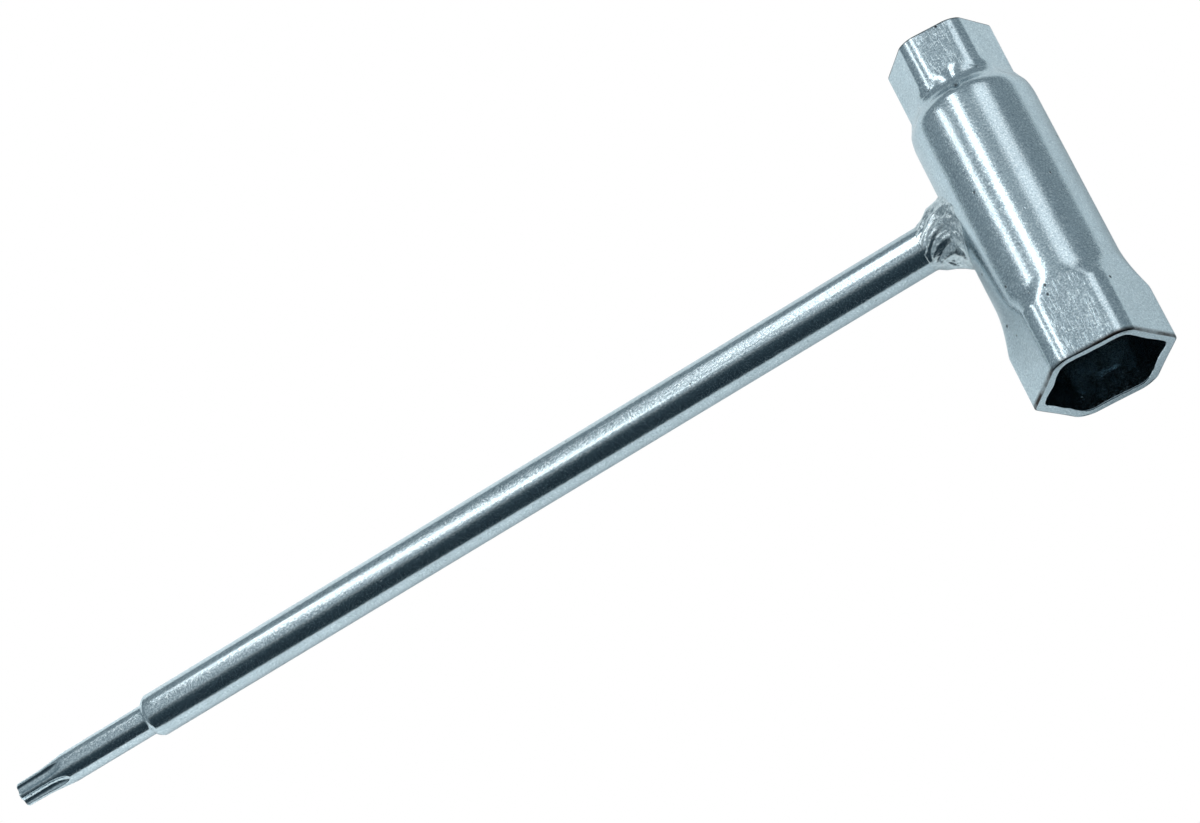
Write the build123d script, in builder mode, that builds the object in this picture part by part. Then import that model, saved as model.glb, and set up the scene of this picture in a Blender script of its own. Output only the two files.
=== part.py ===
"""Combination wrench: a formed steel socket tube welded across the end of a driver bar.

The tube has a 19 mm hex socket at one end and a 13 mm hex socket at the other. The bar's free end
is turned down to a shank with a size 27 six-lobe driver.

The origin is the centre of the 19 mm socket's mouth. +Y runs along the tube to the 13 mm end, the bar
points to -X, and +Z is square to both, so the wrench lies flat on its side. Sizes are in millimetres.
"""

import os
from math import atan2, cos, degrees, radians, sin, tan

from build123d import *

# Driving dimensions of the tube
tube_length = 67.9
tube_outer_radius = 11.1
tube_bore_radius = 9.35
clocking = 7.6  # degrees that both hexagons are turned from having a corner on the bar's side

large_outer_flats = 22.3
large_outer_corners = 25.4
large_inner_flats = 19.2
large_inner_corners = 22.1
large_hex_depth = 10.4

small_outer_flats = 17.0
small_outer_corners = 19.2
small_inner_flats = 13.2
small_inner_corners = 15.1
small_hex_depth = 9.9

# The tube swells from round to the large hexagon, and domes in from round to the small one.
flare_length = 8.3
flare_middle_corners = 23.3
inner_flare_length = 4.0
inner_large_depth = 13.0
dome_length = 5.6
dome_crown_length = 2.6
dome_crown_radius = 10.7
inner_dome_length = 4.6
inner_small_depth = 10.3

# Driving dimensions of the bar, measured from the tube's axis
bar_radius = 4.0
bar_offset = 36.7  # from the large mouth to the bar's axis
bar_shoulder = 176.1
bar_tip = 204.0
shoulder_bevel = 0.5
shank_radius = 2.88
shank_root_fillet = 0.5

# Driving dimensions of the six-lobe driver
lobe_count = 6
lobe_peak_radius = 2.5
lobe_valley_radius = 1.8
lobe_nose_radius = 0.4
driver_taper_start = 9.5
driver_taper_length = 4.5
driver_end_radius = 2.38
driver_end_bevel = 0.25
driver_clocking = 30  # degrees that the flutes are turned from having one on the +Y side
flute_straight_length = 7.0
flute_runout_radius = 9.0
flute_runout_turn = 50
flute_overrun = 1.0  # the flute's cutter starts this far beyond the bar's end

# Driving dimensions of the weld. Each row is a ring round the bar: its distance from the tube's axis,
# its radius, and how far its centre sits towards the large mouth.
weld_stations = [
    (8.5, 7.4, 1.5),
    (11.1, 7.0, 1.5),
    (13.4, 5.6, 0.7),
    (16.3, 4.3, 0.0),
]

os.makedirs("parts", exist_ok=True)


def tube_plane(depth):
    """A plane square to the tube, at a depth from the large mouth, turned by the clocking."""
    turn = radians(clocking)
    return Plane(origin=(0, depth, 0), x_dir=(cos(turn), 0, -sin(turn)), z_dir=(0, 1, 0))


def corner_radius(flats, corners):
    """The radius that rounds a hexagon of this size across flats to this size across corners."""
    return (flats / cos(radians(30)) - corners) / 2 / (1 / cos(radians(30)) - 1)


def flat_half_angle(flats, corners):
    """Half the angle that one straight flat of the rounded hexagon takes, seen from its centre."""
    half_width = (flats / 2 - corner_radius(flats, corners)) * tan(radians(30))
    return degrees(atan2(half_width, flats / 2))


def hex_section(depth, flats, corners):
    """A hexagon with rounded corners, one of them on the plane's own x direction."""
    with BuildSketch(tube_plane(depth)) as section:
        RegularPolygon(radius=flats / 2, side_count=6, major_radius=False)
        fillet(section.vertices(), radius=corner_radius(flats, corners))
    return section.sketch


def round_section(depth, radius, half_angle):
    """A circle in twelve arcs that meet the hexagon's six corners and six flats one to one."""
    # The arcs stay twelve separate edges, so each one runs on into one flat or one corner.
    arcs = []
    for corner in range(6):
        corner_start = 60 * corner - 30 + half_angle
        flat_start = 60 * corner + 30 - half_angle
        arcs.append(CenterArc((0, 0), radius, corner_start, flat_start - corner_start))
        arcs.append(CenterArc((0, 0), radius, flat_start, 2 * half_angle))
    return Face(tube_plane(depth) * Wire(arcs))


# Socket tube: one outer skin and one inner skin, each lofted from mouth to mouth
dome_start = tube_length - small_hex_depth - dome_length
inner_dome_start = tube_length - inner_small_depth - inner_dome_length
large_angle = flat_half_angle(large_outer_flats, large_outer_corners)
small_angle = flat_half_angle(small_outer_flats, small_outer_corners)
large_inner_angle = flat_half_angle(large_inner_flats, large_inner_corners)
small_inner_angle = flat_half_angle(small_inner_flats, small_inner_corners)

flared_skin = [
    hex_section(0, large_outer_flats, large_outer_corners),
    hex_section(large_hex_depth, large_outer_flats, large_outer_corners),
    hex_section(large_hex_depth + flare_length / 2, large_outer_flats, flare_middle_corners),
    round_section(large_hex_depth + flare_length, tube_outer_radius, large_angle),
]
domed_skin = [
    round_section(large_hex_depth + flare_length, tube_outer_radius, small_angle),
    round_section(dome_start, tube_outer_radius, small_angle),
    round_section(dome_start + dome_crown_length, dome_crown_radius, small_angle),
    hex_section(tube_length - small_hex_depth, small_outer_flats, small_outer_corners),
    hex_section(tube_length, small_outer_flats, small_outer_corners),
]
flared_bore = [
    hex_section(0, large_inner_flats, large_inner_corners),
    hex_section(inner_large_depth, large_inner_flats, large_inner_corners),
    round_section(inner_large_depth + inner_flare_length, tube_bore_radius, large_inner_angle),
]
domed_bore = [
    round_section(inner_large_depth + inner_flare_length, tube_bore_radius, small_inner_angle),
    round_section(inner_dome_start, tube_bore_radius, small_inner_angle),
    hex_section(tube_length - inner_small_depth, small_inner_flats, small_inner_corners),
    hex_section(tube_length, small_inner_flats, small_inner_corners),
]

with BuildPart() as socket_tube:
    loft(sections=flared_skin, ruled=True)
    loft(sections=domed_skin, ruled=True)
    loft(sections=flared_bore, ruled=True, mode=Mode.SUBTRACT)
    loft(sections=domed_bore, ruled=True, mode=Mode.SUBTRACT)
socket_tube.part.label = "socket_tube"
export_step(socket_tube.part, "parts/socket_tube.step")


# Driver bar: one turned bar, its end saddled to the tube, its shank fluted into six lobes
bar_axis = Axis((0, bar_offset, 0), (-1, 0, 0))
bar_plane = Plane(origin=(0, bar_offset, 0), x_dir=(-1, 0, 0), z_dir=(0, 0, 1))
taper_start = bar_tip - driver_taper_start
bevel_start = bar_tip - driver_end_bevel

# Each flute is a round groove tangent to the noses of the lobes beside it.
nose_centre = lobe_peak_radius - lobe_nose_radius
half_pitch = radians(180 / lobe_count)
flute_radius = (
    nose_centre**2 + lobe_valley_radius**2 - lobe_nose_radius**2
    - 2 * nose_centre * lobe_valley_radius * cos(half_pitch)
) / (2 * (lobe_nose_radius - lobe_valley_radius + nose_centre * cos(half_pitch)))
flute_centre = lobe_valley_radius + flute_radius

with BuildPart() as driver_bar:
    with BuildSketch(bar_plane):
        with BuildLine():
            Polyline(
                (0, 0),
                (0, bar_radius),
                (bar_shoulder - shoulder_bevel, bar_radius),
                (bar_shoulder, bar_radius - shoulder_bevel),
                (bar_shoulder, shank_radius + shank_root_fillet),
            )
            RadiusArc(
                (bar_shoulder, shank_radius + shank_root_fillet),
                (bar_shoulder + shank_root_fillet, shank_radius),
                -shank_root_fillet,
            )
            Polyline(
                (bar_shoulder + shank_root_fillet, shank_radius),
                (taper_start, shank_radius),
                (taper_start + driver_taper_length, lobe_peak_radius),
                (bevel_start, driver_end_radius),
                (bar_tip, driver_end_radius - driver_end_bevel),
                (bar_tip, 0),
                (0, 0),
            )
        make_face()
    revolve(axis=bar_axis)
    with Locations((0, bar_offset, 0)):
        Cylinder(tube_outer_radius, 4 * bar_radius, rotation=(90, 0, 0), mode=Mode.SUBTRACT)
    for flute in range(lobe_count):
        flute_turn = driver_clocking + 360 * flute / lobe_count
        flute_plane = bar_plane.rotated((flute_turn, 0, 0))
        with BuildLine(flute_plane) as flute_path:
            start = (bar_tip + flute_overrun, flute_centre)
            bend = (bar_tip - flute_straight_length, flute_centre)
            Line(start, bend)
            JernArc(bend, (-1, 0), flute_runout_radius, -flute_runout_turn)
        with BuildSketch(Plane(flute_path.line @ 0, z_dir=(1, 0, 0))):
            Circle(flute_radius)
        sweep(path=flute_path.line, mode=Mode.SUBTRACT)
driver_bar.part.label = "driver_bar"
export_step(driver_bar.part, "parts/driver_bar.step")


# Weld bead: a fillet all round the joint, wider on the large mouth's side
with BuildPart() as weld_bead:
    for reach, radius, shift in weld_stations:
        with BuildSketch(Plane(origin=(-reach, bar_offset - shift, 0), z_dir=(-1, 0, 0))):
            Circle(radius)
    loft()
    with Locations((0, bar_offset, 0)):
        Cylinder(tube_outer_radius, tube_length, rotation=(90, 0, 0), mode=Mode.SUBTRACT)
        Cylinder(bar_radius, 2 * bar_shoulder, rotation=(0, 90, 0), mode=Mode.SUBTRACT)
weld_bead.part.label = "weld_bead"
export_step(weld_bead.part, "parts/weld_bead.step")
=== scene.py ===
"""Combination wrench: the zinc plated skins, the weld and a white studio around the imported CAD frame.

The frame is the CAD's: the 19 mm mouth is at the origin, +Y runs along the tube to the 13 mm mouth, and
the bar points to -X. Blender works in metres. Sizes are named here in millimetres, and `mm` turns them
to metres.
"""
from math import atan2, cos, degrees, pi, radians, sin, tan

import bpy
import numpy as np
from mathutils import Matrix, Vector


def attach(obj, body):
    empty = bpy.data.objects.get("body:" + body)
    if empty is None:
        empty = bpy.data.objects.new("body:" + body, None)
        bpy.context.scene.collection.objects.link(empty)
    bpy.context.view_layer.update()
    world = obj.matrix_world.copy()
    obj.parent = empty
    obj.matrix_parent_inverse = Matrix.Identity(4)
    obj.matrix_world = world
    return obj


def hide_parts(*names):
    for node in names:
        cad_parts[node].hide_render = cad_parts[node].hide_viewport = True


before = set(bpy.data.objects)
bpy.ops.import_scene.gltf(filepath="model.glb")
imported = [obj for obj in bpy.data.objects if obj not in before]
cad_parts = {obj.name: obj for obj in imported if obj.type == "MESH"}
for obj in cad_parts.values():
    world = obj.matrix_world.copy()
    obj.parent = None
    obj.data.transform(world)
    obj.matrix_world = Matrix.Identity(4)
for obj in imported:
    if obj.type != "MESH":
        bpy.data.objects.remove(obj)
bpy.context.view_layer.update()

mm = 0.001
MATH = "ShaderNodeMath"

# A Mix node's sockets by number: its factor, the two numbers or colours it mixes, and the mixed colour.
FACTOR, A, B, COLOUR_A, COLOUR_B, MIXED = 0, 2, 3, 6, 7, 2


# ---------------------------------------------------------------- small tools

def add(tree, kind, settings=None, links=(), stops=()):
    """Adds one node. Links are by input number or name; a value that isn't a node or socket is set.

    Stops are a colour ramp's, each a place and a grey value or a colour.
    """
    node = tree.nodes.new(kind)
    for key, value in (settings or {}).items():
        setattr(node, key, value)
    pairs = links.items() if isinstance(links, dict) else enumerate(links)
    for key, value in pairs:
        if isinstance(value, bpy.types.Node):
            value = value.outputs[0]
        if isinstance(value, bpy.types.NodeSocket):
            tree.links.new(value, node.inputs[key])
        else:
            node.inputs[key].default_value = value
    if stops:
        elements = node.color_ramp.elements
        elements.remove(elements[0])
        for count, (place, value) in enumerate(stops):
            stop = elements.new(place) if count else elements[0]
            stop.position = place
            stop.color = value if isinstance(value, list) else (value, value, value, 1)
    return node


def paint(hex_colour):
    """An sRGB hex colour as the linear colour that a shader takes."""
    channels = [int(hex_colour[i:i + 2], 16) / 255 for i in (1, 3, 5)]
    return [c / 12.92 if c <= 0.04045 else ((c + 0.055) / 1.055) ** 2.4 for c in channels] + [1]


def between(places, table):
    """Reads a table of (place, value) rows along a line, with straight stretches between them."""
    return np.interp(places, *np.array(table, float).T)


def eased(places, table, softness, step=0.05):
    """Reads a table of (place, value) rows along a line, with its corners rounded by a soft window."""
    table = np.array(table, float)
    low, high = table[0, 0] - 4 * softness, table[-1, 0] + 4 * softness
    line = np.arange(low, high + step, step)
    values = np.interp(line, table[:, 0], table[:, 1])
    window = np.exp(-0.5 * (np.arange(-3 * softness, 3 * softness + step, step) / softness) ** 2)
    padded = np.pad(values, len(window) // 2, mode="edge")
    smooth = np.convolve(padded, window / window.sum(), mode="same")
    smooth = smooth[len(window) // 2:len(window) // 2 + len(values)]
    return np.interp(places, line, smooth)


# ---------------------------------------------------------------- skins made by a rule

merge_distance = 1e-6  # metres; closer than this, points of a seam or a pole become one


def ring_skin(name, stations, around, sizes, rule, finish):
    """A closed skin: each station of a profile is carried once round an axis, and the rule places it."""
    profile = bpy.data.meshes.new(name + "_profile")
    count = len(next(iter(stations.values())))
    profile.vertices.add(count)
    for key, values in stations.items():
        layer = profile.attributes.new(key, "FLOAT", "POINT")
        layer.data.foreach_set("value", np.asarray(values, np.float32))
    piece = bpy.data.objects.new(name, profile)
    bpy.context.scene.collection.objects.link(piece)

    tree = bpy.data.node_groups.new(name + "_rule", "GeometryNodeTree")
    tree.interface.new_socket("Profile", in_out="INPUT", socket_type="NodeSocketGeometry")
    sockets = {}
    for label in sizes:
        sockets[label] = tree.interface.new_socket(
            label, in_out="INPUT", socket_type="NodeSocketFloat").identifier
    tree.interface.new_socket("Skin", in_out="OUTPUT", socket_type="NodeSocketGeometry")
    given = tree.nodes.new("NodeGroupInput")
    size = {label: given.outputs[label] for label in sizes}

    # a grid's point knows its station and its turn round the axis from its number
    columns = around + 1
    grid = add(tree, "GeometryNodeMeshGrid", None, [1.0, 1.0, count, columns])
    index = add(tree, "GeometryNodeInputIndex")
    row = add(tree, MATH, {"operation": "DIVIDE"}, [index, float(columns)])
    row = add(tree, MATH, {"operation": "FLOOR"}, [row])
    column = add(tree, MATH, {"operation": "MODULO"}, [index, float(columns)])
    turn = add(tree, MATH, {"operation": "MULTIPLY"}, [column, 2 * pi / around])
    at = {}
    for key in stations:
        named = add(tree, "GeometryNodeInputNamedAttribute", {"data_type": "FLOAT"}, [key])
        at[key] = add(tree, "GeometryNodeSampleIndex", {"data_type": "FLOAT", "clamp": True},
                      {"Geometry": given.outputs["Profile"], "Value": named, "Index": row})
    place, kept_values = rule(tree, size, at, turn)
    skin = add(tree, "GeometryNodeSetPosition", None, {"Geometry": grid, "Position": place})
    for key, value in kept_values.items():
        skin = add(tree, "GeometryNodeStoreNamedAttribute", {"data_type": "FLOAT", "domain": "POINT"},
                   {"Geometry": skin, "Name": key, "Value": value})
    skin = add(tree, "GeometryNodeMergeByDistance", None, {"Geometry": skin, "Distance": merge_distance})
    skin = add(tree, "GeometryNodeSetShadeSmooth", None, {"Geometry": skin})
    skin = add(tree, "GeometryNodeRealizeInstances", None, {"Geometry": skin})
    skin = add(tree, "GeometryNodeSetMaterial", None, {"Geometry": skin, "Material": finish})
    result = tree.nodes.new("NodeGroupOutput")
    tree.links.new(skin.outputs[0], result.inputs["Skin"])

    modifier = piece.modifiers.new("skin", "NODES")
    modifier.node_group = tree
    for label, value in sizes.items():
        modifier[sockets[label]] = value
    bpy.context.view_layer.update()
    evaluated = piece.evaluated_get(bpy.context.evaluated_depsgraph_get())
    mesh = bpy.data.meshes.new_from_object(evaluated)
    mesh.name = name
    piece.modifiers.clear()
    piece.data = mesh
    bpy.data.meshes.remove(profile)
    return piece


# ---------------------------------------------------------------- zinc plating

cloud_size = 4.0        # width of the slow changes in the plating
line_spacing = 0.2      # between lines rubbed into the plating
line_stretch = 0.07     # a rubbed line's spacing over its length
rubbed_height = 3.0     # of the lines where a flat is rubbed, in heights of the grain
pit_depth = 6.0         # in heights of the grain
pit_floor, pit_edge = 0.03, 0.13    # radii of a pit, as shares of the space between pits
# the pits' own dark colour, also used for the painted shade in the neck's crease
pit_and_crease_shade_colour = paint("#2c353b")
# a dark brown for the painted shade line along the mouths' outer edges
rim_shade_colour = paint("#37302d")
sheared_roughness = 0.42


def zinc_plating(name, dull, colour, pale, grain, roughness, bump, pits, pitted, rub_axis, rub):
    """Bright zinc over steel: a cool metal with a fine grain, pits, and lines rubbed along it, with
    painted shade in the neck's crease and a painted dark line of shade along the mouths' rims.

    The grain's width, the bump's height and the space between pits are in millimetres. `pitted` is the
    share of places that have a pit. The lines run along `rub_axis`, 0 for X and 1 for Y, and `rub` is
    their height in heights of the grain.
    """
    material = bpy.data.materials.new(name)
    material.use_nodes = True
    tree = material.node_tree
    tree.nodes.clear()
    place = add(tree, "ShaderNodeTexCoord").outputs["Object"]
    crystals = add(tree, "ShaderNodeTexNoise", {"noise_dimensions": "3D"},
                   {"Vector": place, "Scale": 1 / (grain * mm), "Detail": 3.0, "Roughness": 0.7})
    cloud = add(tree, "ShaderNodeTexNoise", None,
                {"Vector": place, "Scale": 1 / (cloud_size * mm), "Detail": 4.0, "Roughness": 0.6})
    stretch = [1.0, 1.0, 1.0]
    stretch[rub_axis] = line_stretch
    drawn = add(tree, "ShaderNodeMapping", None, {"Vector": place, "Scale": stretch})
    lines = add(tree, "ShaderNodeTexNoise", None,
                {"Vector": drawn, "Scale": 1 / (line_spacing * mm), "Detail": 2.0, "Roughness": 0.5})
    speck = add(tree, "ShaderNodeValToRGB", None, [crystals],
                [(0.35, paint(dull)), (0.47, paint(colour)), (0.54, paint(colour)), (0.65, paint(pale))])
    mottle = add(tree, "ShaderNodeValToRGB", None, [cloud], [(0.3, 0.90), (0.7, 1.0)])
    tint = add(tree, "ShaderNodeMix", {"data_type": "RGBA", "blend_type": "MULTIPLY"},
               {FACTOR: 1.0, COLOUR_A: speck, COLOUR_B: mottle})
    rough_low, rough_high = roughness
    rough = add(tree, "ShaderNodeMapRange", None, [crystals, 0.3, 0.7, rough_low, rough_high])

    # pits are dark, and painted shade darkens the crease that the press left at the neck, in the pits'
    # colour
    cells = add(tree, "ShaderNodeTexVoronoi", {"feature": "F1"},
                {"Vector": place, "Scale": 1 / (pits * mm), "Randomness": 1.0})
    chance = add(tree, "ShaderNodeSeparateColor", None, [cells.outputs["Color"]])
    chosen = add(tree, MATH, {"operation": "GREATER_THAN"}, [chance, 1 - pitted])
    hollow = add(tree, "ShaderNodeMapRange", {"interpolation_type": "SMOOTHSTEP"},
                 [cells.outputs["Distance"], pit_floor, pit_edge, 1.0, 0.0])
    pit = add(tree, MATH, {"operation": "MULTIPLY"}, [chosen, hollow])
    pressed = add(tree, "ShaderNodeAttribute", {"attribute_name": "pressed"})
    pressed = add(tree, "ShaderNodeMapRange", None, [pressed.outputs["Fac"], 0.3, 0.95, 0.0, 0.9])
    pit_and_crease_shade = add(tree, MATH, {"operation": "MAXIMUM"}, [pit, pressed])
    pit_and_crease_shaded = add(tree, "ShaderNodeMix", {"data_type": "RGBA"},
                  {FACTOR: pit_and_crease_shade, COLOUR_A: tint.outputs[MIXED], COLOUR_B: pit_and_crease_shade_colour})

    # the sheared rim: a thin dark line of painted shade along each mouth's outer edge, made patchy by
    # the slow cloud
    rim_shade_mask = add(tree, "ShaderNodeAttribute", {"attribute_name": "edge_line"})
    patchy = add(tree, "ShaderNodeMapRange", None, [cloud, 0.35, 0.6, 0.5, 1.0])
    rim_shade = add(tree, MATH, {"operation": "MULTIPLY"}, [rim_shade_mask.outputs["Fac"], patchy])
    rim_shaded = add(tree, "ShaderNodeMix", {"data_type": "RGBA"},
                {FACTOR: rim_shade, COLOUR_A: pit_and_crease_shaded.outputs[MIXED], COLOUR_B: rim_shade_colour})
    sheared = add(tree, "ShaderNodeAttribute", {"attribute_name": "cut_face"})
    rough = add(tree, "ShaderNodeMix", {"data_type": "FLOAT"},
                {FACTOR: sheared.outputs["Fac"], A: rough, B: sheared_roughness})

    # the relief: grain, rubbed lines and pits
    rubbed = add(tree, "ShaderNodeAttribute", {"attribute_name": "rubbed"})
    scored = add(tree, MATH, {"operation": "MULTIPLY_ADD"},
                 [rubbed.outputs["Fac"], rubbed_height, rub])
    lines = add(tree, "ShaderNodeMapRange", None, [lines, 0.56, 0.70, 0.0, 1.0])
    height = add(tree, MATH, {"operation": "MULTIPLY_ADD"}, [lines, scored, crystals])
    height = add(tree, MATH, {"operation": "MULTIPLY_ADD"}, [pit, -pit_depth, height])
    relief = add(tree, "ShaderNodeBump", None,
                 {"Strength": 1.0, "Distance": bump * mm, "Height": height})

    shader = add(tree, "ShaderNodeBsdfPrincipled", None,
                 {"Metallic": 1.0, "Base Color": rim_shaded.outputs[MIXED], "Roughness": rough,
                  "Normal": relief})
    add(tree, "ShaderNodeOutputMaterial", None, [shader])
    return material


# Real zinc crystals are a few hundredths of a millimetre wide. The grain is drawn about ten times as
# coarse on all three finishes, so that it shows.

# Bright zinc on tube formed in a press: a cool grey metal, with a fine sparkle at the edges of its
# reflections and small dark pits here and there.
tube_zinc = zinc_plating("bright_zinc_on_formed_tube", dull="#a8b8c1", colour="#c8d7de", pale="#eef7fa",
                         grain=0.32, roughness=(0.12, 0.24), bump=0.015, pits=3.0, pitted=0.36,
                         rub_axis=1, rub=0.0)

# Bright zinc on drawn bar: the same grey but smoother, so the bar's reflections are long clean bands,
# with few pits and the faint lines of drawing along it.
bar_zinc = zinc_plating("bright_zinc_on_drawn_bar", dull="#a1b0b8", colour="#c6d4da", pale="#f0f8fb",
                        grain=0.30, roughness=(0.12, 0.23), bump=0.011, pits=2.0, pitted=0.08,
                        rub_axis=0, rub=0.02)

# Bright zinc on weld metal: paler and glossier over a coarse rough grain, so the bead glitters.
weld_zinc = zinc_plating("bright_zinc_on_weld", dull="#a3b1b8", colour="#d3dee2", pale="#f6fbfc",
                         grain=0.45, roughness=(0.08, 0.22), bump=0.060, pits=1.8, pitted=0.3,
                         rub_axis=0, rub=0.0)


# ---------------------------------------------------------------- socket tube

tube_length = 67.9
hex_clocking = 22.4     # degrees from +X to the first flat's centre, towards +Z
sharp_corner = hex_clocking - 30    # the corner on the side away from the bar
front_flat = hex_clocking + 60      # the centre of the flat that is on top
rim = 0.3               # radius of the broken edges at both mouths
deepest_crease = 0.5
tube_columns = 270

# Each row is a depth from the 19 mm mouth and a size there. A flat is the radius to the hexagon's flats,
# and a corner is the radius to the two corners in line with the bar. The press left the other four
# rounder, by the radius in front_round. A dish is how far the middle of a flat sinks in.
outer_flat = [(0, 11.18), (10.8, 11.18), (14.0, 11.16), (18.7, 11.1), (51.9, 11.1), (53.2, 10.93),
              (54.2, 10.5), (55.2, 9.75), (56.2, 9.15), (57.2, 8.85), (58.4, 8.68), (59.5, 8.57),
              (60.5, 8.5), (67.9, 8.5)]
outer_corner = [(0, 12.68), (10.35, 12.68), (11.7, 12.3), (13.2, 11.91), (14.5, 11.62), (15.7, 11.41),
                (17.0, 11.22), (18.7, 11.1), (52.2, 11.1), (53.7, 10.95), (54.7, 10.75), (55.7, 10.35),
                (56.7, 9.9), (57.7, 9.5), (58.3, 9.4), (59.0, 9.56), (67.9, 9.6)]
front_round = [(0, 4.6), (9.0, 4.8), (11.7, 4.9), (13.2, 7.4), (14.4, 9.6), (15.5, 11.0),
               (16.0, 11.1), (52.2, 11.1), (54.2, 10.5), (55.2, 9.9), (56.2, 9.0), (57.2, 8.3),
               (58.4, 7.3), (59.5, 5.4), (60.5, 4.2), (67.9, 3.8)]
outer_dish = [(0, 0.05), (9.0, 0.05), (12.5, 0.0), (67.9, 0.0)]
inner_flat = [(0, 9.65), (13.0, 9.65), (17.0, 9.35), (53.0, 9.35), (57.6, 6.6), (67.9, 6.6)]
inner_corner = [(0, 10.8), (13.0, 10.8), (17.0, 9.35), (53.0, 9.35), (57.6, 7.45), (67.9, 7.45)]
inner_dish = [(0, 0.12), (12.0, 0.12), (16.0, 0.0), (67.9, 0.0)]

# The front flat's foot at the neck is an arc, with a short crease under it.
crease_depth = [(53.6, 0), (54.9, deepest_crease), (55.7, 0.16), (58.0, 0.12), (59.45, 0.20),
                (60.1, 0)]
crease_width = [(54.0, 3.0), (55.8, 2.6), (57.8, 3.2), (59.8, 8.5)]    # in degrees round the tube
foot_lean = [(57.0, 0), (59.4, -2.0), (60.4, -2.0), (63.0, 0)]
worn_flats = [(0, 1), (11.5, 1), (14.0, 0), (58.8, 0), (60.0, 1)]

# How far each line of sizes is rounded off, for the flats and the corners of a wall.
outer_softness, inner_softness = (0.38, 0.22), (0.3, 0.3)
rim_softness, dish_softness, inner_dish_softness, round_softness = 0.25, 0.12, 0.3, 0.2

outer_wall, inner_wall = (outer_flat, outer_corner), (inner_flat, inner_corner)
far_edge = tube_length - rim

# Stations are closer together where the wall bends.
outside = np.concatenate([np.arange(rim, 9.0, 0.6), np.arange(9.0, 19.0, 0.25),
                          np.arange(19.0, 52.0, 0.9), np.arange(52.0, 61.5, 0.16),
                          np.arange(61.5, far_edge, 0.5), [far_edge]])
inside = np.concatenate([[far_edge], np.arange(tube_length - 1.0, 52.0, -0.6),
                         np.arange(52.0, 18.0, -2.0), np.arange(18.0, rim, -0.6), [rim]])
bend = np.radians(np.arange(15, 90, 15))


def wall(places, tables, softness):
    """The stations along one wall of the tube: depth, flat radius, corner radius and not cut."""
    radii = [eased(places, table, soft) for table, soft in zip(tables, softness)]
    return [(*row, 0) for row in zip(places, *radii)]


def broken_edge(place, outward, towards_out, tables):
    """The stations round one broken edge of a mouth, which turns from a wall into the cut end."""
    at_far_end = place > tube_length / 2
    end = tube_length if at_far_end else 0.0
    side = 1 if at_far_end else -1
    flat_radius, corner_radius = (eased(place, table, rim_softness) for table in tables)
    rows = []
    for angle in (bend if towards_out else bend[::-1]):
        inset = rim * (1 - cos(angle)) * (1 if outward else -1)
        turned_depth = end - side * rim * (1 - sin(angle))
        rows.append((turned_depth, flat_radius - inset, corner_radius - inset, 0))
    return rows


def cut_end(place, first_wall, first_inset, last_wall, last_inset, count):
    """The stations across one cut end of the tube, between its two broken edges."""
    first = np.array([eased(place, table, rim_softness) + first_inset for table in first_wall])
    last = np.array([eased(place, table, rim_softness) + last_inset for table in last_wall])
    return [(place, *(first + share * (last - first)), 1) for share in np.linspace(0, 1, count)]


# Out along the outer wall, over the 13 mm mouth's rim, back along the bore, and over the 19 mm mouth's.
profile = wall(outside, outer_wall, outer_softness)
profile += broken_edge(far_edge, True, True, outer_wall)
profile += cut_end(tube_length, outer_wall, -rim, inner_wall, rim, 6)
profile += broken_edge(far_edge, False, False, inner_wall)
profile += wall(inside, inner_wall, inner_softness)
profile += broken_edge(rim, False, True, inner_wall)
profile += cut_end(0.0, inner_wall, rim, outer_wall, -rim, 7)
profile += broken_edge(rim, True, False, outer_wall)
profile.append(profile[0])
depth, flat, corner, cut = np.array(profile).T

# A hexagon's corner radius gives how much the corner is rounded: nothing where it is a sharp hexagon's,
# and the whole flat radius where the section is round.
to_corner = 1 / cos(radians(30))
least_round, least_inner_round, round_margin = 0.03, 2.5, 1e-4
corner = np.minimum(corner, flat / cos(radians(30)) - 0.01)
corner_round = np.clip((flat / cos(radians(30)) - corner) / (to_corner - 1), least_round, None)
corner_round = np.minimum(corner_round, flat - round_margin)
mid_wall = np.where(depth > tube_length / 2, 8.0, 10.6)    # between the two walls' flats
near_outside = flat > mid_wall
dish = np.where(near_outside, eased(depth, outer_dish, dish_softness),
                eased(depth, inner_dish, inner_dish_softness))
round_front = np.where(near_outside, eased(depth, front_round, round_softness),
                       np.maximum(corner_round, least_inner_round))
round_front = np.minimum(round_front, flat - round_margin)

# The painted shade line is on the outer edge of each mouth.
edge_line = np.zeros(len(depth))
far_rim = len(outside) - 1
edge_line[far_rim:far_rim + len(bend)] = 1
edge_line[-len(bend) - 1:] = 1
edge_line[0] = 1

on_outer_wall = np.arange(len(depth)) < len(outside)
crease = np.where(on_outer_wall, between(depth, crease_depth), 0)
crease_spread = np.radians(between(depth, crease_width))
lean = np.where(on_outer_wall, between(depth, foot_lean), 0)
worn = np.where(on_outer_wall, between(depth, worn_flats), 0)

# The walls are nearly even, the cut ends less so, and the 19 mm mouth just inside its edge the least.
smooth_wall = near_outside | (depth > 5)
uneven = np.where(cut > 0, 1.0, np.where(smooth_wall, 0.1, 2.2))


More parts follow.
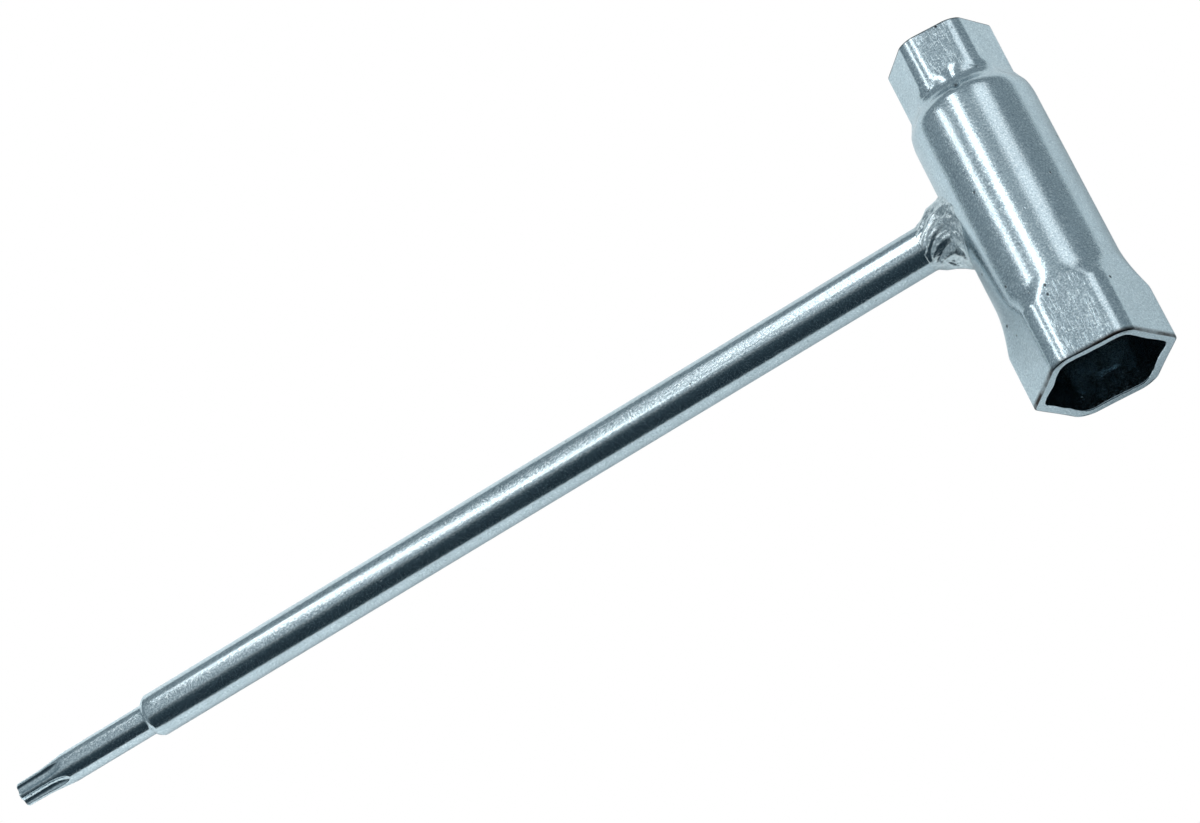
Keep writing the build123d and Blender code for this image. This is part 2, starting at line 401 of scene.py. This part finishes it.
def rounded_hexagon(tree, size, at, turn):
    """Places a point on a hexagon with rounded corners, given its flat radius and corner rounding."""
    from_flat = add(tree, MATH, {"operation": "ADD"}, [turn, size["Clocking"]])
    from_flat = add(tree, MATH, {"operation": "MODULO"}, [from_flat, pi / 3])
    from_flat = add(tree, MATH, {"operation": "SUBTRACT"}, [from_flat, pi / 6])
    off = add(tree, MATH, {"operation": "ABSOLUTE"}, [from_flat])
    # the corners in line with the bar are sharper than the others
    upright = add(tree, MATH, {"operation": "SUBTRACT"}, [turn, size["Sharp corner"]])
    upright = add(tree, MATH, {"operation": "SINE"}, [upright])
    upright = add(tree, MATH, {"operation": "MULTIPLY"}, [upright, upright])
    upright = add(tree, MATH, {"operation": "MULTIPLY", "use_clamp": True}, [upright, 4 / 3])
    rounding = add(tree, "ShaderNodeMix", {"data_type": "FLOAT"},
                   {FACTOR: upright, A: at["corner_round"], B: at["round_front"]})
    # the straight stretch
    off_cos = add(tree, MATH, {"operation": "COSINE"}, [off])
    straight = add(tree, MATH, {"operation": "DIVIDE"}, [at["flat"], off_cos])
    # the rounded corner
    reach = add(tree, MATH, {"operation": "SUBTRACT"}, [at["flat"], rounding])
    centre = add(tree, MATH, {"operation": "DIVIDE"}, [reach, cos(pi / 6)])
    rest = add(tree, MATH, {"operation": "SUBTRACT"}, [pi / 6, off])
    rest_cos = add(tree, MATH, {"operation": "COSINE"}, [rest])
    rest_sin = add(tree, MATH, {"operation": "SINE"}, [rest])
    along = add(tree, MATH, {"operation": "MULTIPLY"}, [centre, rest_cos])
    across = add(tree, MATH, {"operation": "MULTIPLY"}, [centre, rest_sin])
    across2 = add(tree, MATH, {"operation": "MULTIPLY"}, [across, across])
    round2 = add(tree, MATH, {"operation": "MULTIPLY"}, [rounding, rounding])
    under = add(tree, MATH, {"operation": "SUBTRACT"}, [round2, across2])
    under = add(tree, MATH, {"operation": "MAXIMUM"}, [under, 0.0])
    under = add(tree, MATH, {"operation": "SQRT"}, [under])
    bent = add(tree, MATH, {"operation": "ADD"}, [along, under])
    # the corner begins where the straight stretch ends
    limit = add(tree, MATH, {"operation": "MULTIPLY"}, [reach, tan(pi / 6)])
    off_tan = add(tree, MATH, {"operation": "TANGENT"}, [off])
    height = add(tree, MATH, {"operation": "MULTIPLY"}, [off_tan, at["flat"]])
    past = add(tree, MATH, {"operation": "GREATER_THAN"}, [height, limit])
    radius = add(tree, "ShaderNodeMix", {"data_type": "FLOAT"},
                 {FACTOR: past, A: straight, B: bent})
    # each flat is dished a little towards its middle
    spread = add(tree, MATH, {"operation": "DIVIDE"}, [off, size["Dish angle"]])
    fade = add(tree, "ShaderNodeMapRange", {"interpolation_type": "SMOOTHSTEP"},
               [spread, size["Dish floor"], 1.0, 1.0, 0.0])
    sink = add(tree, MATH, {"operation": "MULTIPLY"}, [fade, at["dish"]])
    radius = add(tree, MATH, {"operation": "SUBTRACT"}, [radius, sink])
    # a crease is pressed down the front flat at the neck
    spread = add(tree, MATH, {"operation": "DIVIDE"}, [off, at["crease_spread"]])
    spread = add(tree, MATH, {"operation": "MULTIPLY"}, [spread, spread])
    spread = add(tree, MATH, {"operation": "MULTIPLY"}, [spread, -1.0])
    spread = add(tree, MATH, {"operation": "EXPONENT"}, [spread])
    facing = add(tree, MATH, {"operation": "SUBTRACT"}, [turn, size["Front flat"]])
    facing = add(tree, MATH, {"operation": "COSINE"}, [facing])
    facing = add(tree, MATH, {"operation": "MAXIMUM"}, [facing, 0.0])
    facing = add(tree, MATH, {"operation": "POWER"}, [facing, size["Facing power"]])
    spread = add(tree, MATH, {"operation": "MULTIPLY"}, [spread, facing])
    sink = add(tree, MATH, {"operation": "MULTIPLY"}, [spread, at["crease"]])
    # the crease's depth, as a share of the deepest, sets how much painted shade darkens it
    pressed = add(tree, MATH, {"operation": "MULTIPLY"}, [sink, 1 / deepest_crease])
    radius = add(tree, MATH, {"operation": "SUBTRACT"}, [radius, sink])
    # the press leaves no skin quite true
    turn_cos = add(tree, MATH, {"operation": "COSINE"}, [turn])
    turn_sin = add(tree, MATH, {"operation": "SINE"}, [turn])
    spot = add(tree, "ShaderNodeCombineXYZ", None,
               [add(tree, MATH, {"operation": "MULTIPLY"}, [turn_cos, at["flat"]]), at["depth"],
                add(tree, MATH, {"operation": "MULTIPLY"}, [turn_sin, at["flat"]])])
    dent = add(tree, "ShaderNodeTexNoise", None,
               {"Vector": spot, "Scale": size["Dents per mm"], "Detail": 2.0})
    dent = add(tree, "ShaderNodeMapRange", None, [dent, 0.3, 0.75, 0.0, 1.0])
    dent = add(tree, MATH, {"operation": "MULTIPLY"}, [dent, at["uneven"]])
    dent = add(tree, MATH, {"operation": "MULTIPLY"}, [dent, size["Dent depth"]])
    radius = add(tree, MATH, {"operation": "SUBTRACT"}, [radius, dent])
    radius = add(tree, MATH, {"operation": "MULTIPLY"}, [radius, mm])
    # the foot of each flat is an arc
    share = add(tree, MATH, {"operation": "DIVIDE"}, [off, pi / 6])
    share = add(tree, MATH, {"operation": "MULTIPLY"}, [share, share])
    shift = add(tree, MATH, {"operation": "MULTIPLY_ADD"}, [share, at["lean"], at["depth"]])
    y = add(tree, MATH, {"operation": "MULTIPLY"}, [shift, mm])
    x = add(tree, MATH, {"operation": "MULTIPLY"}, [radius, turn_cos])
    z = add(tree, MATH, {"operation": "MULTIPLY"}, [radius, turn_sin])
    # use has rubbed the middle of the front flat
    on_flat = add(tree, "ShaderNodeMapRange", None,
                  [off, size["Rub floor"], size["Rub edge"], 1.0, 0.0])
    rubbed = add(tree, MATH, {"operation": "MULTIPLY"}, [on_flat, at["worn"]])
    rubbed = add(tree, MATH, {"operation": "MULTIPLY"}, [rubbed, facing])
    marks = {"rubbed": rubbed, "pressed": pressed,
             "cut_face": at["cut_face"], "edge_line": at["edge_line"]}
    return add(tree, "ShaderNodeCombineXYZ", None, [x, y, z]), marks


tube = ring_skin("socket_tube_skin",
                 {"depth": depth, "flat": flat, "corner_round": corner_round, "round_front": round_front,
                  "dish": dish, "crease": crease, "crease_spread": crease_spread, "lean": lean,
                  "worn": worn, "uneven": uneven, "cut_face": cut, "edge_line": edge_line},
                 tube_columns,
                 {"Clocking": radians(30 - hex_clocking), "Sharp corner": radians(sharp_corner),
                  "Front flat": radians(front_flat), "Facing power": 6.0,
                  "Dish floor": 0.1, "Dish angle": radians(22), "Dents per mm": 0.42, "Dent depth": 0.13,
                  "Rub floor": radians(12), "Rub edge": radians(24)},
                 rounded_hexagon, tube_zinc)


# ---------------------------------------------------------------- driver bar

bar_offset = 36.7       # from the 19 mm mouth to the bar's axis
tube_radius = 11.1
bar_radius = 4.0
shoulder = 176.1        # from the tube's axis
tip = 204.0
shank_radius = 2.88
root_fillet = 0.5
bar_columns = 288

# A flute is a round groove tangent to the noses of the lobes beside it.
lobe_peak, lobe_valley, lobe_nose = 2.5, 1.8, 0.4
nose_centre = lobe_peak - lobe_nose
flute_radius = ((nose_centre ** 2 + lobe_valley ** 2 - lobe_nose ** 2
                 - 2 * nose_centre * lobe_valley * cos(pi / 6))
                / (2 * (lobe_nose - lobe_valley + nose_centre * cos(pi / 6))))
flute_centre = lobe_valley + flute_radius
flute_straight = 5.7
flute_runout = 9.0
clear_of_bar = 9.0      # a radius that is outside the bar, where no flute cuts
plain_below = 2.1       # radius under which the end face keeps sharp flutes

# Each row is a distance from the tube's axis and the bar's radius there. The first rows lie on the
# tube's wall, so there the distance is from the wall.
saddle_rows = [(0.0, 0.0), (0.0, 1.3), (0.0, 2.6), (0.0, 3.9), (0.1, bar_radius)]
bar_rows = saddle_rows + [(s, bar_radius) for s in np.arange(2.0, shoulder - 0.6 - tube_radius, 2.5)]
bar_rows = [(tube_radius + s, r) for s, r in bar_rows]
bar_rows += [(shoulder - 0.95, bar_radius), (shoulder - 0.85, 3.98), (shoulder - 0.14, 3.57),
             (shoulder, 3.46), (shoulder, 3.42)]
bar_rows += [(shoulder + root_fillet * (1 - sin(k)), shank_radius + root_fillet * (1 - cos(k)))
             for k in np.radians(np.arange(90, -1, -15))]
shank_sizes = [(shoulder + 1.0, shank_radius), (194.5, 2.86), (196.0, 2.77), (198.0, 2.6), (199.0, 2.5),
               (202.0, 2.42), (203.6, 2.4)]
shank = np.concatenate([np.arange(shoulder + 1.0, 193.0, 1.2), np.arange(193.0, 203.6, 0.12)])
bar_rows += list(zip(shank, eased(shank, shank_sizes, 0.3)))
bar_rows += [(203.68, 2.38), (203.85, 2.32), (203.96, 2.22), (tip, 2.08), (tip, 1.4), (tip, 0.7),
             (tip, 0.0)]
along, bar_round = np.array(bar_rows).T
saddle = (np.arange(len(along)) < len(saddle_rows)).astype(float)

# The flute's cutter runs straight, then leaves the bar along an arc.
back = np.clip(tip - flute_straight - along, 0, flute_runout)
flute_out = flute_centre + flute_runout - np.sqrt(np.clip(flute_runout ** 2 - back ** 2, 0, None))


def fluted_round(tree, size, at, turn):
    """Places a point on a round bar that six round flutes cut into, its root saddled to the tube."""
    beside = add(tree, MATH, {"operation": "ADD"}, [turn, size["Flute clocking"]])
    beside = add(tree, MATH, {"operation": "MODULO"}, [beside, pi / 3])
    beside = add(tree, MATH, {"operation": "SUBTRACT"}, [beside, pi / 6])
    beside_cos = add(tree, MATH, {"operation": "COSINE"}, [beside])
    beside_sin = add(tree, MATH, {"operation": "SINE"}, [beside])
    ahead = add(tree, MATH, {"operation": "MULTIPLY"}, [at["flute_out"], beside_cos])
    aside = add(tree, MATH, {"operation": "MULTIPLY"}, [at["flute_out"], beside_sin])
    aside2 = add(tree, MATH, {"operation": "MULTIPLY"}, [aside, aside])
    cutter2 = add(tree, MATH, {"operation": "MULTIPLY"}, [size["Flute radius"], size["Flute radius"]])
    under = add(tree, MATH, {"operation": "SUBTRACT"}, [cutter2, aside2])
    inside_cut = add(tree, MATH, {"operation": "GREATER_THAN"}, [under, 0.0])
    under = add(tree, MATH, {"operation": "MAXIMUM"}, [under, 0.0])
    under = add(tree, MATH, {"operation": "SQRT"}, [under])
    groove = add(tree, MATH, {"operation": "SUBTRACT"}, [ahead, under])
    groove = add(tree, "ShaderNodeMix", {"data_type": "FLOAT"},
                 {FACTOR: inside_cut, A: clear_of_bar, B: groove})
    # the edges between flutes and lobes are broken, except on the end face
    least = add(tree, MATH, {"operation": "SMOOTH_MIN"}, [groove, at["bar_round"], size["Edge break"]])
    plain = add(tree, MATH, {"operation": "LESS_THAN"}, [at["bar_round"], plain_below])
    sharp = add(tree, MATH, {"operation": "MINIMUM"}, [groove, at["bar_round"]])
    least = add(tree, "ShaderNodeMix", {"data_type": "FLOAT"}, {FACTOR: plain, A: least, B: sharp})
    radius = add(tree, MATH, {"operation": "MAXIMUM"}, [least, 0.0])
    turn_cos = add(tree, MATH, {"operation": "COSINE"}, [turn])
    turn_sin = add(tree, MATH, {"operation": "SINE"}, [turn])
    y = add(tree, MATH, {"operation": "MULTIPLY_ADD"}, [radius, turn_cos, size["Bar offset"]])
    z = add(tree, MATH, {"operation": "MULTIPLY"}, [radius, turn_sin])
    # the root lies on the tube's wall
    z2 = add(tree, MATH, {"operation": "MULTIPLY"}, [z, z])
    tube2 = add(tree, MATH, {"operation": "MULTIPLY"}, [size["Tube radius"], size["Tube radius"]])
    wall_x = add(tree, MATH, {"operation": "SUBTRACT"}, [tube2, z2])
    wall_x = add(tree, MATH, {"operation": "SQRT"}, [wall_x])
    wall_x = add(tree, MATH, {"operation": "SUBTRACT"}, [wall_x, size["Tube radius"]])
    out = add(tree, MATH, {"operation": "MULTIPLY_ADD"}, [wall_x, at["saddle"], at["along"]])
    x = add(tree, MATH, {"operation": "MULTIPLY"}, [out, -mm])
    y = add(tree, MATH, {"operation": "MULTIPLY"}, [y, mm])
    z = add(tree, MATH, {"operation": "MULTIPLY"}, [z, mm])
    return add(tree, "ShaderNodeCombineXYZ", None, [x, y, z]), {}


bar = ring_skin("driver_bar_skin",
                {"along": along, "bar_round": bar_round, "flute_out": flute_out, "saddle": saddle},
                bar_columns,
                {"Flute clocking": 0.0, "Flute radius": flute_radius, "Edge break": 0.06,
                 "Bar offset": bar_offset, "Tube radius": tube_radius},
                fluted_round, bar_zinc)


# ---------------------------------------------------------------- weld bead

weld_columns = 420

# Each row is a share of the way from the tube's wall to the bar, and the bead's radius round the bar
# there: on the side of the 13 mm mouth, and on the side of the 19 mm mouth, where the bead is wider.
far_side = [(0, 6.3), (0.25, 6.05), (0.5, 5.7), (0.7, 5.0), (0.85, 4.4), (1.0, 4.0)]
mouth_side = [(0, 8.3), (0.09, 7.55), (0.2, 7.0), (0.35, 6.35), (0.55, 5.75), (0.75, 4.95), (0.9, 4.3),
              (1.0, 4.0)]
way = np.linspace(0, 1, 44)

# The hidden face goes back just inside the bar, and out along the tube's wall.
hidden_way = [1.0, 0.75, 0.5, 0.25, 0.0, 0.0]
hidden_radius = [3.9, 3.9, 3.9, 3.9, 3.9, 5.2]
level = [0.0] * len(hidden_way)


def all_round(seen, hidden):
    """The values along the seen face, then along the hidden one, and back at the first."""
    return np.concatenate([seen, hidden, seen[:1]])


def rippled_bead(tree, size, at, turn):
    """Places a point on a weld run round the bar, from the tube's wall to the bar, with ripples."""
    turn_cos = add(tree, MATH, {"operation": "COSINE"}, [turn])
    turn_sin = add(tree, MATH, {"operation": "SINE"}, [turn])
    side = add(tree, "ShaderNodeMapRange", None, [turn_cos, 1.0, -1.0, 0.0, 1.0])
    radius = add(tree, "ShaderNodeMix", {"data_type": "FLOAT"},
                 {FACTOR: side, A: at["small"], B: at["mouth"]})
    # ripples: curved crests that follow one another round the joint
    arc = add(tree, MATH, {"operation": "SUBTRACT"}, [at["share"], size["Crest middle"]])
    arc = add(tree, MATH, {"operation": "MULTIPLY"}, [arc, arc])
    phase = add(tree, MATH, {"operation": "MULTIPLY_ADD"}, [arc, size["Crest curve"], turn])
    phase = add(tree, MATH, {"operation": "MULTIPLY"}, [phase, size["Ripples"]])
    wobble = add(tree, "ShaderNodeTexNoise", {"noise_dimensions": "4D"},
                 {"Vector": add(tree, "ShaderNodeCombineXYZ", None, [turn_cos, turn_sin, at["share"]]),
                  "W": size["Seed"], "Scale": size["Lumpiness"], "Detail": 2.0})
    phase = add(tree, MATH, {"operation": "MULTIPLY_ADD"}, [wobble, size["Ripple wander"], phase])
    crest = add(tree, MATH, {"operation": "SINE"}, [phase])
    crest = add(tree, MATH, {"operation": "MULTIPLY"}, [crest, at["ripple"]])
    lump = add(tree, MATH, {"operation": "SUBTRACT"}, [wobble, 0.5])
    lump = add(tree, MATH, {"operation": "MULTIPLY"}, [lump, at["ripple"]])
    # the web is hollow between the tube and the bar
    hollow = add(tree, MATH, {"operation": "MULTIPLY"}, [turn_sin, turn_sin])
    hollow = add(tree, MATH, {"operation": "POWER"}, [hollow, size["Web power"]])
    hollow = add(tree, MATH, {"operation": "MULTIPLY"}, [hollow, at["hollow"]])
    hollow = add(tree, MATH, {"operation": "MULTIPLY"}, [hollow, size["Web depth"]])
    radius = add(tree, MATH, {"operation": "SUBTRACT"}, [radius, hollow])
    radius = add(tree, MATH, {"operation": "MULTIPLY_ADD"}, [crest, size["Ripple height"], radius])
    radius = add(tree, MATH, {"operation": "MULTIPLY_ADD"}, [lump, size["Lump height"], radius])
    y = add(tree, MATH, {"operation": "MULTIPLY_ADD"}, [radius, turn_cos, size["Bar offset"]])
    z = add(tree, MATH, {"operation": "MULTIPLY"}, [radius, turn_sin])
    # the root is sunk in the tube's wall, and the toe ends on the bar
    root_z = add(tree, "ShaderNodeMix", {"data_type": "FLOAT"},
                 {FACTOR: side, A: size["Far root"], B: size["Mouth root"]})
    root_z = add(tree, MATH, {"operation": "MULTIPLY"}, [root_z, turn_sin])
    root_z = add(tree, MATH, {"operation": "MULTIPLY"}, [root_z, root_z])
    tube2 = add(tree, MATH, {"operation": "MULTIPLY"}, [size["Tube radius"], size["Tube radius"]])
    root = add(tree, MATH, {"operation": "SUBTRACT"}, [tube2, root_z])
    root = add(tree, MATH, {"operation": "SQRT"}, [root])
    root = add(tree, MATH, {"operation": "SUBTRACT"}, [root, size["Root depth"]])
    toe = add(tree, "ShaderNodeMix", {"data_type": "FLOAT"},
              {FACTOR: side, A: size["Far toe"], B: size["Mouth toe"]})
    out = add(tree, "ShaderNodeMix", {"data_type": "FLOAT"}, {FACTOR: at["share"], A: root, B: toe})
    x = add(tree, MATH, {"operation": "MULTIPLY"}, [out, -mm])
    y = add(tree, MATH, {"operation": "MULTIPLY"}, [y, mm])
    z = add(tree, MATH, {"operation": "MULTIPLY"}, [z, mm])
    return add(tree, "ShaderNodeCombineXYZ", None, [x, y, z]), {}


weld = ring_skin("weld_bead_skin",
                 {"share": all_round(way, hidden_way),
                  "small": all_round(between(way, far_side), hidden_radius),
                  "mouth": all_round(between(way, mouth_side), hidden_radius),
                  "ripple": all_round(np.sin(way * pi) ** 0.6, level),
                  "hollow": all_round(np.sin(way * pi), level)},
                 weld_columns,
                 {"Ripples": 12.0, "Ripple height": 0.17, "Ripple wander": 4.0, "Crest middle": 0.45,
                  "Crest curve": -3.0, "Lumpiness": 2.6, "Lump height": 0.7, "Seed": 3.0,
                  "Web depth": 0.95, "Web power": 0.7, "Far root": 6.2, "Mouth root": 8.1,
                  "Root depth": 0.25, "Far toe": 16.6, "Mouth toe": 17.2,
                  "Bar offset": bar_offset, "Tube radius": tube_radius},
                 rippled_bead, weld_zinc)


# ---------------------------------------------------------------- outward faces

for piece in (tube, bar, weld):
    mesh = piece.data
    corners = np.zeros(len(mesh.vertices) * 3)
    mesh.vertices.foreach_get("co", corners)
    mesh.calc_loop_triangles()
    triangles = np.zeros(len(mesh.loop_triangles) * 3, int)
    mesh.loop_triangles.foreach_get("vertices", triangles)
    a, b, c = corners.reshape(-1, 3)[triangles.reshape(-1, 3)].transpose(1, 0, 2)
    volume = (np.cross(a, b) * c).sum() / 6
    if volume < 0:
        mesh.flip_normals()


# ---------------------------------------------------------------- studio

# Above, a grey that reflections see and that fades to dark in front of the wrench's mouth. The camera
# sees plain white instead, and matt surfaces get an even grey light.
world = bpy.data.worlds.new("studio")
bpy.context.scene.world = world
world.use_nodes = True
sky = world.node_tree
sky.nodes.clear()
ray = add(sky, "ShaderNodeLightPath")
heading = add(sky, "ShaderNodeTexCoord")
axes = add(sky, "ShaderNodeSeparateXYZ", None, [heading.outputs["Generated"]])
overhead = add(sky, "ShaderNodeValToRGB", None, [axes.outputs["Z"]],
               [(0.0, paint("#8f9ca2")), (0.3, paint("#8b989f")), (0.75, paint("#a3b0b6")),
                (1.0, paint("#c0cacf"))])
frontward = add(sky, "ShaderNodeMapRange", None, [axes.outputs["Y"], -1.0, 1.0, 0.0, 1.0])
front_dark = add(sky, "ShaderNodeValToRGB", None, [frontward],
                 [(0.16, paint("#5b6971")), (0.25, paint("#6a777e")), (0.32, 0.4), (0.38, 0.9),
                  (0.45, 1.0)])
reflected = add(sky, "ShaderNodeMix", {"data_type": "RGBA", "blend_type": "MULTIPLY"},
                {FACTOR: 1.0, COLOUR_A: overhead, COLOUR_B: front_dark})
shown = add(sky, "ShaderNodeMix", {"data_type": "RGBA"},
            {FACTOR: ray.outputs["Is Camera Ray"], COLOUR_A: reflected.outputs[MIXED],
             COLOUR_B: (1, 1, 1, 1)})
soft = add(sky, "ShaderNodeMix", {"data_type": "RGBA"},
           {FACTOR: ray.outputs["Is Diffuse Ray"], COLOUR_A: shown.outputs[MIXED],
            COLOUR_B: paint("#bcc4c7")})
glow = add(sky, "ShaderNodeBackground", None, [soft.outputs[MIXED], 1.0])
add(sky, "ShaderNodeOutputWorld", None, [glow])

# The tabletop rises towards the tube's end, because the wrench rests on a hexagon corner and the bar.
rest_bar = Vector((-176.0, 0, -4.0))
rest_hex = Vector((4.84, 0, -11.84))
slope = (rest_hex.z - rest_bar.z) / (rest_hex.x - rest_bar.x)
table_reach, table_end, table_front = 900, 85, -32
floor_mesh = bpy.data.meshes.new("floor")
places = []
for x, y in ((-table_reach, table_front), (table_end, table_front), (table_end, table_reach),
             (-table_reach, table_reach)):
    places.append(Vector((x, y, rest_bar.z + (x - rest_bar.x) * slope)) * mm)
floor_mesh.from_pydata(places, [], [(0, 1, 2, 3)])
floor = bpy.data.objects.new("floor", floor_mesh)
bpy.context.scene.collection.objects.link(floor)

# Matt white board: pure white to the camera, and a soft pale light thrown back up at the metal. To a
# camera below it, it is clear.
white = bpy.data.materials.new("white_tabletop")
white.use_nodes = True
board = white.node_tree
board.nodes.clear()
path = add(board, "ShaderNodeLightPath")
matt = add(board, "ShaderNodeBsdfDiffuse", None, [paint("#e8eef0")])
lit = add(board, "ShaderNodeEmission", None, [(1, 1, 1, 1), 1.0])
both = add(board, "ShaderNodeMixShader", None, [path.outputs["Is Camera Ray"], matt, lit])
below = add(board, "ShaderNodeNewGeometry").outputs["Backfacing"]
below = add(board, MATH, {"operation": "MULTIPLY"}, [path.outputs["Is Camera Ray"], below])
clear = add(board, "ShaderNodeBsdfTransparent")
both = add(board, "ShaderNodeMixShader", None, [below, both, clear])
add(board, "ShaderNodeOutputMaterial", None, [both])
floor_mesh.materials.append(white)

wrench_middle = Vector((0, 36, 10)) * mm


def panel_light(name, towards, along_axis, distance, length, width, brightness):
    """A flat panel that faces the wrench from one direction; length and width are angles in degrees."""
    towards = Vector(towards).normalized()
    long = (Vector(along_axis) - Vector(along_axis).dot(towards) * towards).normalized()
    wide = long.cross(towards)
    lamp = bpy.data.lights.new(name, "AREA")
    lamp.shape = "RECTANGLE"
    lamp.size = 2 * distance * tan(radians(width / 2))
    lamp.size_y = 2 * distance * tan(radians(length / 2))
    lamp.energy = brightness * pi * lamp.size * lamp.size_y
    panel = bpy.data.objects.new(name, lamp)
    bpy.context.scene.collection.objects.link(panel)
    turned = Matrix((wide, long, towards)).transposed().to_4x4()
    panel.matrix_world = Matrix.Translation(wrench_middle + towards * distance) @ turned
    return panel


# The tall panel makes the bright stripe along the tube, and the soft one the paler stripe beside it.
panel_light("tall_panel", towards=(-0.115, 0.5525, 0.825), along_axis=(0, 0.825, -0.5525),
            distance=2.5, length=43, width=9.0, brightness=2.6)
panel_light("soft_panel", towards=(0.567, 0.483, 0.668), along_axis=(0, 0.81, -0.59),
            distance=2.5, length=42, width=20, brightness=0.8)

# The near strip hangs between two points above the wrench, and makes the bright band along the bar.
strip_start = Vector((-196, -14, 588)) * mm
strip_end = Vector((-361, 450, 389)) * mm
strip_middle = (strip_start + strip_end) / 2 - wrench_middle
strip_along = strip_end - strip_start
strip_angle = 2 * degrees(atan2(strip_along.length / 2, strip_middle.length))
panel_light("near_strip", towards=strip_middle, along_axis=strip_along, distance=strip_middle.length,
            length=strip_angle, width=5.5, brightness=2.6)

# The key casts the soft shadow, and no surface mirrors it.
key = panel_light("key", towards=(-0.67, -0.02, 0.65), along_axis=(0, 0, 1),
                  distance=0.4, length=40, width=40, brightness=2.75)
key.visible_glossy = False


# ---------------------------------------------------------------- camera

target = Vector((-79.36, 42.48, 0)) * mm
distance = 672.65 * mm
azimuth, elevation, roll = radians(25.74), radians(57.71), radians(-53.45)
back_away = Vector((sin(azimuth) * cos(elevation), -cos(azimuth) * cos(elevation), sin(elevation)))
lens = bpy.data.cameras.new("camera")
lens.lens = 118.8
lens.sensor_width = 36
lens.clip_end = 20
camera = bpy.data.objects.new("camera", lens)
bpy.context.scene.collection.objects.link(camera)
aim = (-back_away).to_track_quat("-Z", "Y").to_matrix().to_4x4()
stand = Matrix.Translation(target + distance * back_away)
camera.matrix_world = stand @ aim @ Matrix.Rotation(roll, 4, "Z")
bpy.context.scene.camera = camera
bpy.context.scene.view_settings.view_transform = "Standard"
bpy.context.scene.view_settings.look = "None"


# ---------------------------------------------------------------- joining the frame

for piece, node, slot in ((tube, "socket_tube", "zinc_plated_tube"),
                          (bar, "driver_bar", "zinc_plated_bar"),
                          (weld, "weld_bead", "weld_metal")):
    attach(piece, "root")
    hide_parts(node)
